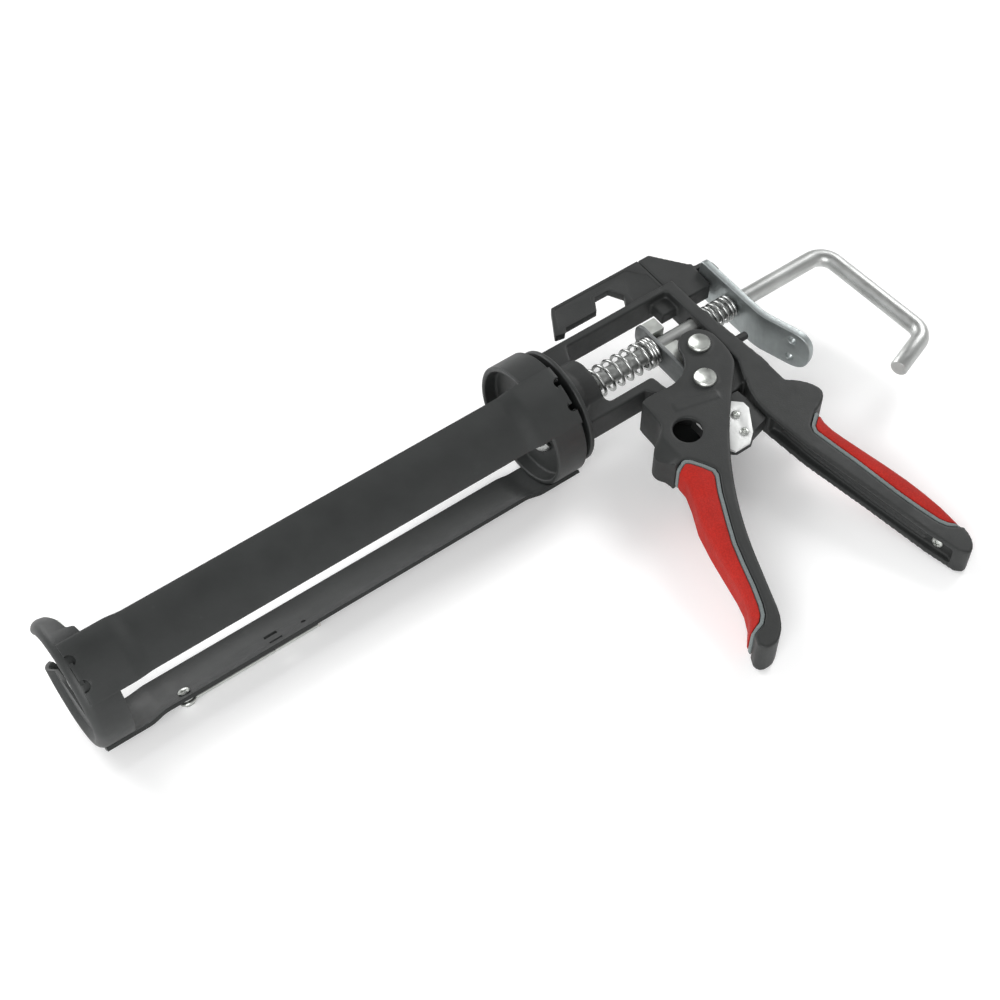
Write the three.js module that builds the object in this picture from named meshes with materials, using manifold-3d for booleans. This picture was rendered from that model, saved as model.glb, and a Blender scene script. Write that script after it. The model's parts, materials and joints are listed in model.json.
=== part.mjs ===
// Caulking gun for 310 ml cartridges: half-open turning cradle, push rod with a pull handle,
// trigger with a drive block, release lever, ladder hook and a built-in nozzle cutter.
//
// Gun frame, in millimetres: +X runs along the barrel from the nozzle to the handle, +Y is the top
// of the gun when it is held, +Z is its left side. X = 0 is the front rim of the cradle ring and
// the barrel axis is Y = Z = 0. The finished gun lies on its right side, rolled a little about the
// barrel so that the cradle and the handle both touch the surface; the origin is the bottom centre
// of its box.

import * as THREE from 'three';
import { mergeVertices } from 'three/addons/utils/BufferGeometryUtils.js';
import Module from 'manifold-3d';

const wasm = await Module();
wasm.setup();

// ---------------------------------------------------------------- driving dimensions (mm, degrees)
const GAP = 0.3;                 // working gap between touching pieces

const ROD_R = 4;                 // 8 mm push rod
const ROD_FRONT = -217;          // tip of the rod, in front of the plunger nut
const ROD_CORNER = 173.8;        // where the rod turns down into its pull handle
const ROD_LEG = 63.5;              // drop of the pull handle
const ROD_END = 25;              // length of the last bend
const ROD_BEND = 8.5;            // centre-line radius of both bends
const ROD_BORE = 4.4;            // guide holes for the rod

const RING_R = 28.4;             // cradle ring and front cap, outside
const RING_WALL = 2.2;
const RING_LENGTH = 14.8;
const RING_WEB = [6.5, 9];       // web that turns on the barrel boss
const NECK_R = 12.2;             // boss neck inside the ring web

const CAP_FACE = -220;           // front face of the end cap
const CAP_REAR = -205;
const CAP_WALL = 1.6;
const CAP_RECESS = 2.6;          // flat middle of the cap, behind its rim
const CAP_EDGE = 4;              // rounded front edge
const CAP_EAR = -211;            // rear edge of the ears beside the open side
const NOTCH = 10.5;              // half width of the nozzle notch
const NOTCH_CENTRE = -3;         // Y of the notch's round end

const STRIP_T = 1.5;             // cradle strip sheet
const STRIP_R = 27.3;            // inner radius between the laps
const LAP_R = 28.7;              // inner radius where the strip laps the cap and the ring
const STRIP_FROM = 35.4;         // strip edges, degrees from the bottom of the gun
const STRIP_TO = 89;
const STRIP_FRONT = -217;
const STRIP_REAR = 14.5;
const TAB_ANGLE = 62;            // hooked tab in the middle of each strip end
const TAB_HALF = 4.5;
const RELIEF_R = 2.1;            // relief holes beside each tab
const RELIEF_STEP = 10.8;        // degrees from the tab to a relief hole

const PIN_ANGLE = -52;           // pivot of the seal-piercing wire on the right strip
const PIN_X = -179;
const WIRE_R = 0.9;
const WIRE_RADIUS = 31.3;        // distance of the wire from the barrel axis
const WIRE_LENGTH = 62;

const FLANGE = { r: 26.4, front: 18.2, rear: 20.6 };
const BOSS_R = 14;
const BOSS_REAR = 36;

const BODY_HALF = 7;             // half thickness of the frame and the handle
const FRAME = { top: 23.2, topIn: 19.7, bottomIn: -15.6, bottom: -20.3, front: 21 };
const WALL = { front: 96.5, rear: 102.4 };   // rear wall of the frame

const PIVOT = [75.5, -32];       // trigger pivot
const DRIVE = [86, -15.4];       // drive pin above the pivot
const PIN_R = 2.9;
const CHEEK = { inner: 7.4, outer: 9.8 };    // trigger cheeks each side of the frame
const TRIGGER_HALF = 8.9;        // half thickness of the finger part
const CUT_HOLE = [52.1, -49];    // nozzle-cutting hole
const CUT_HOLE_R = 6.5;

const BLOCK = { front: 73.4, step: 75, rear: 82.7, top: 11.4, crown: 13, bottom: -22, half: 5, wing: 6.5 };

const LEVER = { front: 118, t: 3.5, half: 10.5, hinge: [119.75, 20], kinkY: -18.5, kink: 17.5, tail: 27 };
const MAIN_SPRING_R = 6.5;
const RELEASE_SPRING_R = 5.3;
const SPRING_WIRE = 0.75;

const HOOK_FACES = [0.8, 4.4];   // heights of the hook plate's faces
const HEX = { x: 72.8, y: 30.2, side: 7.9 };

const REST_ROLL = 8.17;          // degrees about the barrel, cradle and handle on the surface

// ---------------------------------------------------------------- materials
function paint(color, roughness, metalness) {
  return new THREE.MeshStandardMaterial({ color, roughness, metalness });
}

const CHARCOAL = paint(0x333535, 0.55, 0.1);
const CAST = paint(0x3a3c3c, 0.6, 0.1);
const RUBBER = paint(0xb02a22, 0.75, 0);
const BORDER = paint(0x7c8484, 0.7, 0);
const ZINC = paint(0xb9beba, 0.35, 0.9);
const STEEL = paint(0x9aa0a0, 0.4, 0.9);
const PLATED = paint(0xd8dad8, 0.3, 0.9);

// ---------------------------------------------------------------- small geometry kit
const deg = THREE.MathUtils.degToRad;

// Turns a closed three.js geometry into a manifold solid, facing outwards.
function solid(geometry) {
  const bare = geometry.index ? geometry.toNonIndexed() : geometry.clone();
  for (const name of Object.keys(bare.attributes)) {
    if (name !== 'position') bare.deleteAttribute(name);
  }
  const merged = mergeVertices(bare, 1e-4);
  const vertProperties = new Float32Array(merged.attributes.position.array);
  const triVerts = Uint32Array.from(merged.index.array);
  if (signedVolume(vertProperties, triVerts) < 0) {
    for (let i = 0; i < triVerts.length; i += 3) {
      [triVerts[i + 1], triVerts[i + 2]] = [triVerts[i + 2], triVerts[i + 1]];
    }
  }
  return new wasm.Manifold(new wasm.Mesh({ numProp: 3, vertProperties, triVerts }));
}

function signedVolume(p, t) {
  const corner = (i) => new THREE.Vector3(p[3 * i], p[3 * i + 1], p[3 * i + 2]);
  let volume = 0;
  for (let i = 0; i < t.length; i += 3) {
    volume += corner(t[i]).dot(corner(t[i + 1]).cross(corner(t[i + 2]))) / 6;
  }
  return volume;
}

function geometryOf(manifold) {
  const { vertProperties, triVerts, numProp } = manifold.getMesh();
  const position = new Float32Array((vertProperties.length / numProp) * 3);
  for (let i = 0; i < position.length / 3; i += 1) {
    for (let k = 0; k < 3; k += 1) position[3 * i + k] = vertProperties[numProp * i + k];
  }
  const geometry = new THREE.BufferGeometry();
  geometry.setAttribute('position', new THREE.BufferAttribute(position, 3));
  geometry.setIndex(new THREE.BufferAttribute(new Uint32Array(triVerts), 1));
  geometry.computeVertexNormals();
  return geometry;
}

const join = (first, ...rest) => rest.reduce((sum, next) => sum.add(next), first);
const cut = (first, ...rest) => rest.reduce((left, next) => left.subtract(next), first);

function outline(points) {
  return new THREE.Shape(points.map(([x, y]) => new THREE.Vector2(x, y)));
}

// Plate from an XY outline between two heights.
function plate(shape, z0, z1, curveSegments = 8) {
  const flat = Array.isArray(shape) ? outline(shape) : shape;
  const geometry = new THREE.ExtrudeGeometry(flat, { depth: z1 - z0, bevelEnabled: false, curveSegments });
  return solid(geometry.translate(0, 0, z0));
}

// Plate with all its edges rounded over by the given radius, in the three.js bevel.
function softPlate(points, half, radius) {
  const geometry = new THREE.ExtrudeGeometry(outline(points), {
    depth: 2 * (half - radius),
    bevelThickness: radius,
    bevelSize: radius,
    bevelOffset: -radius,
    bevelSegments: 3,
  });
  return solid(geometry.translate(0, 0, radius - half));
}

function box(x0, x1, y0, y1, z0, z1) {
  const geometry = new THREE.BoxGeometry(x1 - x0, y1 - y0, z1 - z0);
  return solid(geometry.translate((x0 + x1) / 2, (y0 + y1) / 2, (z0 + z1) / 2));
}

// Solid of revolution about the barrel axis. Profile points are [x, radius].
function turned(profile, segments = 40) {
  const points = profile.map(([x, r]) => new THREE.Vector2(r, x));
  return solid(new THREE.LatheGeometry(points, segments).rotateZ(-Math.PI / 2));
}

function ringProfile(x0, x1, r0, r1) {
  return [[x0, r0], [x1, r0], [x1, r1], [x0, r1], [x0, r0]];
}

function cylinderX(r, x0, x1, y = 0, z = 0, sides = 20) {
  const geometry = new THREE.CylinderGeometry(r, r, x1 - x0, sides).rotateZ(-Math.PI / 2);
  return solid(geometry.translate((x0 + x1) / 2, y, z));
}

function cylinderZ(r, [x, y], z0, z1, sides = 20) {
  const geometry = new THREE.CylinderGeometry(r, r, z1 - z0, sides).rotateX(Math.PI / 2);
  return solid(geometry.translate(x, y, (z0 + z1) / 2));
}

// Moves a solid modelled at the bottom of the gun round the barrel by an angle, positive to the left.
const around = (manifold, angle) => manifold.rotate([-angle, 0, 0]);

// Path of straight runs and round bends in an XY plane, with even frames for a swept round bar.
class BentPath extends THREE.Curve {
  constructor(points) {
    super();
    this.points = points.map(([x, y]) => new THREE.Vector3(x, y, 0));
  }

  getSpacedPoints() {
    return this.points;
  }

  computeFrenetFrames() {
    const last = this.points.length - 1;
    const tangents = this.points.map((p, i) => {
      const next = this.points[Math.min(i + 1, last)];
      const before = this.points[Math.max(i - 1, 0)];
      return next.clone().sub(before).normalize();
    });
    const binormals = tangents.map(() => new THREE.Vector3(0, 0, 1));
    const normals = tangents.map((t) => new THREE.Vector3(0, 0, 1).cross(t));
    return { tangents, normals, binormals };
  }
}

// Rounds the inner corners of a polyline with arcs of one radius.
function roundedRoute(corners, radius, steps) {
  const route = [corners[0]];
  for (let i = 1; i < corners.length - 1; i += 1) {
    const here = new THREE.Vector2(...corners[i]);
    const into = here.clone().sub(new THREE.Vector2(...corners[i - 1])).normalize();
    const out = new THREE.Vector2(...corners[i + 1]).sub(here).normalize();
    const turn = Math.atan2(into.cross(out), into.dot(out));
    const reach = radius * Math.tan(Math.abs(turn) / 2);
    const start = here.clone().addScaledVector(into, -reach);
    const side = new THREE.Vector2(-into.y, into.x).multiplyScalar(Math.sign(turn) * radius);
    const centre = start.clone().add(side);
    for (let k = 0; k <= steps; k += 1) {
      const spoke = side.clone().negate().rotateAround(new THREE.Vector2(), (turn * k) / steps);
      route.push([centre.x + spoke.x, centre.y + spoke.y]);
    }
  }
  route.push(corners[corners.length - 1]);
  return route;
}

function circleShape(r, sides) {
  const corner = (i) => [r * Math.cos((2 * Math.PI * i) / sides), r * Math.sin((2 * Math.PI * i) / sides)];
  return outline(Array.from({ length: sides }, (_, i) => corner(i)));
}

function bentBar(route, r, sides) {
  const extrudePath = new BentPath(route);
  return solid(new THREE.ExtrudeGeometry(circleShape(r, sides), { steps: route.length - 1, extrudePath }));
}

class Coil extends THREE.Curve {
  constructor(x0, x1, turns, radius) {
    super();
    Object.assign(this, { x0, x1, turns, radius });
  }

  getPoint(t, target = new THREE.Vector3()) {
    const angle = 2 * Math.PI * this.turns * t;
    const x = THREE.MathUtils.lerp(this.x0, this.x1, t);
    return target.set(x, this.radius * Math.cos(angle), this.radius * Math.sin(angle));
  }
}

function spring(x0, x1, turns, radius) {
  const extrudePath = new Coil(x0 + SPRING_WIRE, x1 - SPRING_WIRE, turns, radius);
  const steps = Math.round(turns * 12);
  return new THREE.ExtrudeGeometry(circleShape(SPRING_WIRE, 6), { steps, extrudePath });
}

function screwHead(r, height) {
  const slot = box(-r, r, -0.4, 0.4, height - 0.6, height + 1);
  const head = cylinderZ(r, [0, 0], 0, height, 16);
  return cut(head, slot, slot.rotate([0, 0, 90]));
}

function rivet([x, y], headR) {
  const profile = [[0, 0], [headR, 0], [headR, 0.6], [headR * 0.7, 1.7], [0, 2.1]];
  const dome = new THREE.LatheGeometry(profile.map(([r, h]) => new THREE.Vector2(r, h)), 20);
  const head = solid(dome.rotateX(Math.PI / 2)).translate([0, 0, CHEEK.outer + GAP]);
  const shank = cylinderZ(PIN_R, [0, 0], -CHEEK.outer - GAP, CHEEK.outer + GAP);
  return join(head, head.mirror([0, 0, 1]), shank).translate([x, y, 0]);
}

// ---------------------------------------------------------------- cradle
// Sector of the cradle between two angles from the bottom of the gun, for cutting strips.
function sector(from, to, x0, x1) {
  const reach = 60;
  const spoke = (angle) => [-reach * Math.cos(deg(angle)), reach * Math.sin(deg(angle))];
  const wedge = outline([[0, 0], spoke(from), spoke((from + to) / 2), spoke(to)]);
  const geometry = new THREE.ExtrudeGeometry(wedge, { depth: x1 - x0, bevelEnabled: false });
  // Shape (u, v) lies in the gun's YZ plane and is extruded along X.
  const basis = new THREE.Matrix4().makeBasis(
    new THREE.Vector3(0, 1, 0), new THREE.Vector3(0, 0, 1), new THREE.Vector3(1, 0, 0));
  return solid(geometry.applyMatrix4(basis).translate(x0, 0, 0));
}

// Hooked tab of a strip end, at the bottom of the gun before it is turned to its strip.
function tab(x0, x1, grow) {
  return box(x0 - grow, x1 + grow, -LAP_R - 0.4, -24.6 + grow, -TAB_HALF - grow, TAB_HALF + grow);
}

const TABS = [[-216.9, -215.5], [12.2, 13.6]];

function cradleStrip(side) {
  const outer = STRIP_R + STRIP_T;
  const lapOuter = LAP_R + STRIP_T;
  const shell = turned([
    [STRIP_FRONT, LAP_R], [-197.5, LAP_R], [-189, STRIP_R], [-14, STRIP_R], [-5, LAP_R], [STRIP_REAR, LAP_R],
    [STRIP_REAR, lapOuter], [-5.6, lapOuter], [-14.6, outer], [-188.4, outer], [-196.9, lapOuter],
    [STRIP_FRONT, lapOuter], [STRIP_FRONT, LAP_R],
  ], 72);
  const [from, to] = side > 0 ? [STRIP_FROM, STRIP_TO] : [-STRIP_TO, -STRIP_FROM];
  const relief = (x, step) => around(
    cylinderZ(RELIEF_R, [0, 0], 20, 34, 12).rotate([90, 0, 0]).translate([x, 0, 0]), side * TAB_ANGLE + step);
  const blank = shell.intersect(sector(from, to, STRIP_FRONT - 1, STRIP_REAR + 1));
  const holes = [STRIP_FRONT + 1.6, STRIP_REAR - 1.6]
    .flatMap((x) => [relief(x, RELIEF_STEP), relief(x, -RELIEF_STEP)]);
  const lip = (x0, x1) => around(box(x0, x1, -34, -20, -TAB_HALF - 0.9, TAB_HALF + 0.9), side * TAB_ANGLE);
  const lips = [lip(STRIP_FRONT - 1, TABS[0][0]), lip(TABS[1][1], STRIP_REAR + 1)];
  const hooks = TABS.map(([x0, x1]) => around(tab(x0, x1, 0), side * TAB_ANGLE));
  const strip = join(cut(blank, ...holes, ...lips), ...hooks);
  return side > 0 ? strip : cut(strip, ...pinHoles());
}

// Holes in the right strip: the wire's pivot and the two clip slots.
function pinHoles() {
  const down = (shape) => around(shape, PIN_ANGLE);
  const pivot = cylinderZ(2, [0, 0], 20, 34, 12).rotate([90, 0, 0]).translate([PIN_X, 0, 0]);
  const slot = (z) => box(-139, -133, -34, -20, z - 1, z + 1);
  return [pivot, slot(-5.5), slot(0.5)].map(down);
}

function frontCap() {
  const inner = CAP_FACE + CAP_WALL;
  const edge = [];
  for (let k = 0; k <= 5; k += 1) {
    const a = deg(18 * k);
    edge.push([CAP_FACE + CAP_EDGE * (1 - Math.sin(a)), RING_R - CAP_EDGE * (1 - Math.cos(a))]);
  }
  const shell = turned([
    [inner + CAP_RECESS, 0], [inner + CAP_RECESS, 21.4], [inner, 24],
    [CAP_FACE + CAP_EDGE, RING_R - CAP_WALL], [CAP_REAR, RING_R - CAP_WALL], [CAP_REAR, RING_R], ...edge,
    [CAP_FACE, 24.2],
    [CAP_FACE + CAP_RECESS, 21.8], [CAP_FACE + CAP_RECESS, 0],
  ], 48);
  const opening = box(CAP_EAR, CAP_REAR + 1, 1, 40, -40, 40);
  const notch = join(
    cylinderX(NOTCH, CAP_FACE - 1, CAP_REAR + 1, NOTCH_CENTRE, 0, 24),
    box(CAP_FACE - 1, CAP_REAR + 1, NOTCH_CENTRE, 40, -NOTCH, NOTCH));
  const frontTab = (side) => around(tab(...TABS[0], GAP), side * TAB_ANGLE);
  return cut(shell, opening, notch, frontTab(1), frontTab(-1));
}

function cradleRing() {
  const inner = RING_R - RING_WALL;
  const [webFront, webRear] = RING_WEB;
  const ring = turned([
    [0, RING_R], [0, inner], [webFront, inner], [webFront, NECK_R + GAP], [webRear, NECK_R + GAP],
    [webRear, inner], [RING_LENGTH, inner], [RING_LENGTH, RING_R], [0, RING_R],
  ], 48);
  const rearTab = (side) => around(tab(...TABS[1], GAP), side * TAB_ANGLE);
  return cut(ring, rearTab(1), rearTab(-1));
}

// Pivot rivet of the piercing wire, through the right strip; +Z is outwards before turning.
function pinRivet() {
  const stem = cylinderZ(1.4, [0, 0], STRIP_R - 1.2, WIRE_RADIUS + WIRE_R + 0.3, 12);
  const seat = cylinderZ(3, [0, 0], STRIP_R + STRIP_T + 0.2, WIRE_RADIUS - WIRE_R - 0.2, 14);
  const head = cylinderZ(2.6, [0, 0], WIRE_RADIUS + WIRE_R + 0.2, WIRE_RADIUS + WIRE_R + 0.8, 14);
  const inside = cylinderZ(2.6, [0, 0], STRIP_R - 1.3, STRIP_R - 0.3, 14);
  return outward(join(stem, seat, head, inside));
}

// Turns a solid modelled with +Z outwards to the wire's pivot on the right strip.
function outward(manifold) {
  return around(manifold.rotate([90, 0, 0]), PIN_ANGLE).translate([PIN_X, 0, 0]);
}

function piercingWire() {
  const eyeR = 2.7;
  const eye = solid(new THREE.TorusGeometry(eyeR, WIRE_R, 8, 18));
  const route = [[eyeR - 0.4, 0], [WIRE_LENGTH - 3, 0], [WIRE_LENGTH, 0.8]];
  return outward(join(eye, bentBar(route, WIRE_R, 8)).translate([0, 0, WIRE_RADIUS]));
}

// ---------------------------------------------------------------- frame and handle
// Left-face line where the handle's casting meets the grip border, from the top round to the toe.
const HANDLE_SEAM = [
  [106.4, -71], [103.6, -71.7], [97.4, -76.4], [95.9, -80], [97.4, -90.6], [99.2, -102], [100.6, -113.5],
  [102, -124.7], [103.8, -135.3], [105.7, -144.4], [107.6, -148.6], [112.6, -152.6],
];
const HANDLE_BACK = [
  [113.5, -149.6], [113.8, -139], [113.2, -129.4], [112.1, -120], [110.2, -109.3], [108, -98.6], [105.9, -88],
  [105, -82.5], [105, -77.5], [106, -73.4],
];
const BORDER_W = 1.5;

const shifted = (points, dx) => points.map(([x, y]) => [x + dx, y]);

// Line beside a polyline, at a distance to the left of its direction of travel.
function beside(points, distance) {
  const normal = (i) => {
    const [a, b] = [points[i], points[i + 1]];
    return new THREE.Vector2(a[1] - b[1], b[0] - a[0]).normalize();
  };
  return points.map(([x, y], i) => {
    const before = normal(Math.max(i - 1, 0));
    const after = normal(Math.min(i, points.length - 2));
    const mitre = before.clone().add(after).normalize();
    mitre.multiplyScalar(distance / mitre.dot(before));
    return [x + mitre.x, y + mitre.y];
  });
}

function handleCore(grow) {
  const front = shifted(HANDLE_SEAM.slice(3, -2), -3.4);
  front[0][1] += grow;
  front[front.length - 1][1] -= 2 * grow;
  const back = shifted(HANDLE_BACK.slice(1, -2), -2.6 + grow);
  back[0][1] -= grow;
  back[back.length - 1][1] += grow;
  return plate([...front, ...back], -4 - grow, 4 + grow);
}

function bodyFrame() {
  const f = FRAME;
  const side = new THREE.Shape();
  side.moveTo(f.front, f.bottom);
  side.lineTo(f.front, f.top);
  side.lineTo(98.8, f.top);
  side.lineTo(98.8, 43.4);
  side.lineTo(105, 43.4);
  side.lineTo(116.2, 28.6);
  side.lineTo(119, 27);
  side.lineTo(123.6, 26.8);
  side.quadraticCurveTo(126.8, 26.6, 127.1, 23.4);
  side.lineTo(127.1, 18.6);
  side.lineTo(LEVER.front + LEVER.t + 0.6, 18.6);
  side.lineTo(LEVER.front + LEVER.t + 0.6, 24.4);
  side.lineTo(LEVER.front - 0.6, 24.4);
  side.lineTo(LEVER.front - 0.6, 18);
  side.lineTo(LEVER.front - 1.6, 12.4);
  side.lineTo(WALL.rear, 12.4);
  side.lineTo(WALL.rear, 2);
  side.lineTo(105.6, -35);
  side.lineTo(105.3, -50.6);
  side.quadraticCurveTo(113.7, -57, 114.4, -63.6);
  side.quadraticCurveTo(114.2, -67.2, 109.6, -69.4);
  for (const [x, y] of HANDLE_SEAM) side.lineTo(x, y);
  side.quadraticCurveTo(112.4, -158, 109.4, -161.4);
  side.quadraticCurveTo(105.2, -165.6, 102.4, -160.4);
  side.lineTo(99.5, -147);
  side.lineTo(94.7, -116);
  side.lineTo(89.2, -84);
  side.lineTo(87, -60);
  side.quadraticCurveTo(86.6, -48, 92, -40);
  side.lineTo(86, -41.6);
  side.lineTo(66.5, -41.6);
  side.quadraticCurveTo(61.5, -38, 59.5, -33);
  side.lineTo(52.5, f.bottom);

  const window = new THREE.Shape();
  window.moveTo(BOSS_REAR - 0.1, 10.5);
  window.lineTo(40, f.topIn);
  window.lineTo(94, f.topIn);
  window.quadraticCurveTo(WALL.front, f.topIn, WALL.front, 17);
  window.lineTo(WALL.front, -14);
  window.quadraticCurveTo(96, -24, 93, -29.5);
  window.lineTo(84.5, -33);
  window.absarc(PIVOT[0], PIVOT[1], 7.4, 0, Math.PI, false);
  window.lineTo(62, -28);
  window.quadraticCurveTo(60, -22, 60, -18);
  window.quadraticCurveTo(60, f.bottomIn, 57.5, f.bottomIn);
  window.lineTo(37.5, f.bottomIn);
  window.quadraticCurveTo(BOSS_REAR - 0.1, f.bottomIn, BOSS_REAR - 0.1, -13);

  const slab = cut(plate(side, -BODY_HALF, BODY_HALF, 6), plate(window, -10, 10, 6));
  const boss = turned([
    [4, ROD_BORE], [4, NECK_R], [4.7, NECK_R], [4.7, 11], [6.3, 11], [6.3, NECK_R], [9.3, NECK_R],
    [9.3, 15], [FLANGE.front - GAP, 15], [FLANGE.front - GAP, NECK_R], [FLANGE.rear + GAP, NECK_R],
    [FLANGE.rear + GAP, BOSS_R + 4], [28, BOSS_R], [BOSS_REAR, BOSS_R], [BOSS_REAR, ROD_BORE], [4, ROD_BORE],
  ], 36);
  // Fulcrum rib of the drive block, under the top rail.
  const rib = box(87.8, WALL.front + 0.5, 11.3, f.topIn + 0.5, -3, 3);
  // Upper rear part is thinner than the frame, and the catch behind the lever thinner again.
  const thin = (z0, z1) => box(97, 135, f.top + 0.01, 50, z0, z1);
  const thinRear = (z0, z1) => box(WALL.rear + 0.01, 135, 5, f.top + 0.02, z0, z1);
  const catchSide = (z0, z1) => box(117.6, 135, 5, 50, z0, z1);
  // Web beside the trigger is set back from both faces.
  const web = (z0, z1) => plate([
    [96.4, -13], [95.7, -30.4], [89.4, -43.2], [87.3, -52], [86.9, -60], [80, -60], [80, -40], [84.5, -32],
    [84.5, -13],
  ], z0, z1);
  const channelShape = [
    [80, -62], [95, -62], [97.5, -84], [100.5, -106], [103.5, -128], [107, -148], [106.4, -158.2],
    [95, -158.2], [84, -110],
  ];
  const channel = plate(channelShape, -4.6, 4.6);
  const channelLimit = plate([
    [60, -61], [90.4, -61], [91.9, -66], [93.2, -84], [97.6, -116], [100.8, -136], [103.3, -149.2],
    [104.5, -155.4], [103.6, -157.4], [101, -158.2], [60, -158.2],
  ], -10, 10);
  const bores = [cylinderX(ROD_BORE, 0, 130, 0, 0, 24), cylinderZ(PIN_R + 0.25, PIVOT, -10, 10)];
  return cut(
    join(slab, boss, rib, handleCore(0).intersect(box(80, 120, -160, -70, -10, 10))),
    thin(4.5, 10), thin(-10, -4.5), thinRear(4.5, 10), thinRear(-10, -4.5),
    catchSide(3, 10), catchSide(-10, -3), web(4.5, 10), web(-10, -4.5),
    channel.intersect(channelLimit), ...bores, stopPinHole(), handleScrewHole());
}

const STOP_PIN = { y: -19.5, z: 3.6, r: 2, x0: 99, x1: 110.5 };

function stopPinHole() {
  return cylinderX(STOP_PIN.r + GAP, STOP_PIN.x0 - GAP, 130, STOP_PIN.y, STOP_PIN.z, 14);
}

function stopPin() {
  return cylinderX(STOP_PIN.r, STOP_PIN.x0, STOP_PIN.x1, STOP_PIN.y, STOP_PIN.z, 14);
}

// Screw in the handle's front channel, its axis square to the channel floor.
const HANDLE_SCREW = { x: 103.3, y: -149.2, tilt: -79.3 };

function placeHandleScrew(manifold) {
  return manifold.rotate([0, -90, 0]).rotate([0, 0, HANDLE_SCREW.tilt + 90])
    .translate([HANDLE_SCREW.x, HANDLE_SCREW.y, 0]);
}

function handleScrewHole() {
  return placeHandleScrew(cylinderZ(1.75, [0, 0], -4.6, 4, 12));
}

function handleScrew() {
  return placeHandleScrew(join(screwHead(2.6, 1.6), cylinderZ(1.4, [0, 0], -4, 0.2, 10)));
}

// Envelope of the handle grip, with the back rounded over to both sides.
function handleRound() {
  return softPlate([[80, -60], [80, -164], [113, -164], ...HANDLE_BACK, [107, -60]], BODY_HALF, 4.5);
}

function handleBorder() {
  const inner = beside(HANDLE_SEAM, GAP);
  const outer = beside(HANDLE_SEAM, GAP + BORDER_W);
  const band = plate([...inner, ...outer.reverse()], -BODY_HALF, BODY_HALF);
  return cut(band.intersect(handleRound()), handleCore(GAP));
}

function handleGrip() {
  const edge = beside(HANDLE_SEAM, BORDER_W + 2 * GAP);
  const face = plate([...edge, ...HANDLE_BACK], -BODY_HALF, BODY_HALF);
  return cut(face.intersect(handleRound()), handleCore(GAP));
}

function retainingClip() {
  const gap = box(4, 7, -30, 0, -3, 3);
  return cut(turned(ringProfile(4.9, 6.1, 11.3, 15), 28), gap);
}

// Hanging hook: a flat plate with a down-turned tip and a hexagonal cut-out that opens to its slot.
function ladderHook() {
  const { x, y, side } = HEX;
  const half = (side * Math.sqrt(3)) / 2;
  const foot = FRAME.top + GAP;
  const lowX = x + side - (y - foot) / Math.sqrt(3);
  return plate([
    [49.2, 43.4], [98.5, 43.4], [98.5, foot], [lowX, foot], [x + side, y], [x + side / 2, y + half],
    [x - side / 2, y + half], [x - side, y], [47.6, 30.2], [45.4, 27.8], [40.5, 28.8],
  ], ...HOOK_FACES);
}

// ---------------------------------------------------------------- cutter
function cutterHousing() {
  const block = plate([
    [60.5, -42], [86, -42], [86.4, -50], [86.3, -61], [77.6, -63.4], [74.8, -65.4], [67, -65.4], [60.5, -60],
  ], -2.6, 4.6);
  return cut(block, ...CUTTER_SCREWS.map((at) => cylinderZ(1.3, at, -1, 6, 10)));
}

const CUTTER_SCREWS = [[75.6, -53], [72.6, -62.2]];

function cutterBlade() {
  const blade = plate([
    [59.4, -46], [79, -46], [82.8, -49.5], [82.8, -53.2], [75.5, -64.5], [71, -68], [63, -68], [59.4, -62],
  ], 4.9, 6.2);
  return cut(blade, ...CUTTER_SCREWS.map((at) => cylinderZ(1.3, at, 4, 7, 10)));
}

function cutterScrew([x, y]) {
  const screw = join(screwHead(2, 0.8), cylinderZ(0.95, [0, 0], -5.8, 0.1, 10));
  return screw.translate([x, y, 6.5]);
}

// ---------------------------------------------------------------- trigger
// Left-face line between the finger grip (front) and the casting (back), from the tip round to the top.
const FINGER_SEAM = [
  [9, -142.6], [15.2, -141], [18.4, -138.2], [20.8, -134], [24.4, -125.3], [27.9, -115.1], [31.7, -105],
  [36.2, -96], [43.4, -82.2], [48.2, -74.6], [48.8, -71.4], [46.6, -66.6], [43.4, -61.4], [41, -59.7],
  [36.6, -60.2],
];
const FINGER_FRONT = [
  [36.9, -62.8], [36.5, -68], [33.4, -75.8], [28.2, -86.4], [24.8, -98], [22.5, -108], [19.6, -121],
  [17.4, -128], [13.8, -134.6], [8.8, -140],
];

function fingerCore(grow) {
  const back = shifted(FINGER_SEAM.slice(3, -4), 3);
  back[0][1] -= grow;
  back[back.length - 1][1] += grow;
  const front = shifted(FINGER_FRONT.slice(1, -2), 2.6 - grow);
  front[0][1] += grow;
  front[front.length - 1][1] -= grow;
  return plate([...back, ...front], -5 - grow, 5 + grow);
}

function triggerSide() {
  const side = new THREE.Shape();
  side.moveTo(45.6, -26);
  side.quadraticCurveTo(50, -24.5, 58, -26);
  side.quadraticCurveTo(72, -27, 76.6, -15.4);
  side.absarc(DRIVE[0], DRIVE[1], 9.3, Math.PI, 0, true);
  side.quadraticCurveTo(95.6, -28, 91.6, -33);
  side.lineTo(77.4, -47.4);
  side.quadraticCurveTo(62, -63, 50.4, -81.5);
  side.quadraticCurveTo(40, -98, 32.8, -117);
  side.lineTo(26.2, -134);
  side.quadraticCurveTo(22, -147, 14, -150.2);
  side.quadraticCurveTo(7.2, -151.4, 7, -146.6);
  for (const [x, y] of FINGER_SEAM) side.lineTo(x, y);
  side.quadraticCurveTo(36.2, -58, 34.6, -55.8);
  side.quadraticCurveTo(32.4, -53.4, 33.2, -50.6);
  side.quadraticCurveTo(34.2, -47.2, 38.6, -45.4);
  side.quadraticCurveTo(44.4, -43, 45, -37);
  return side;
}

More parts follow.
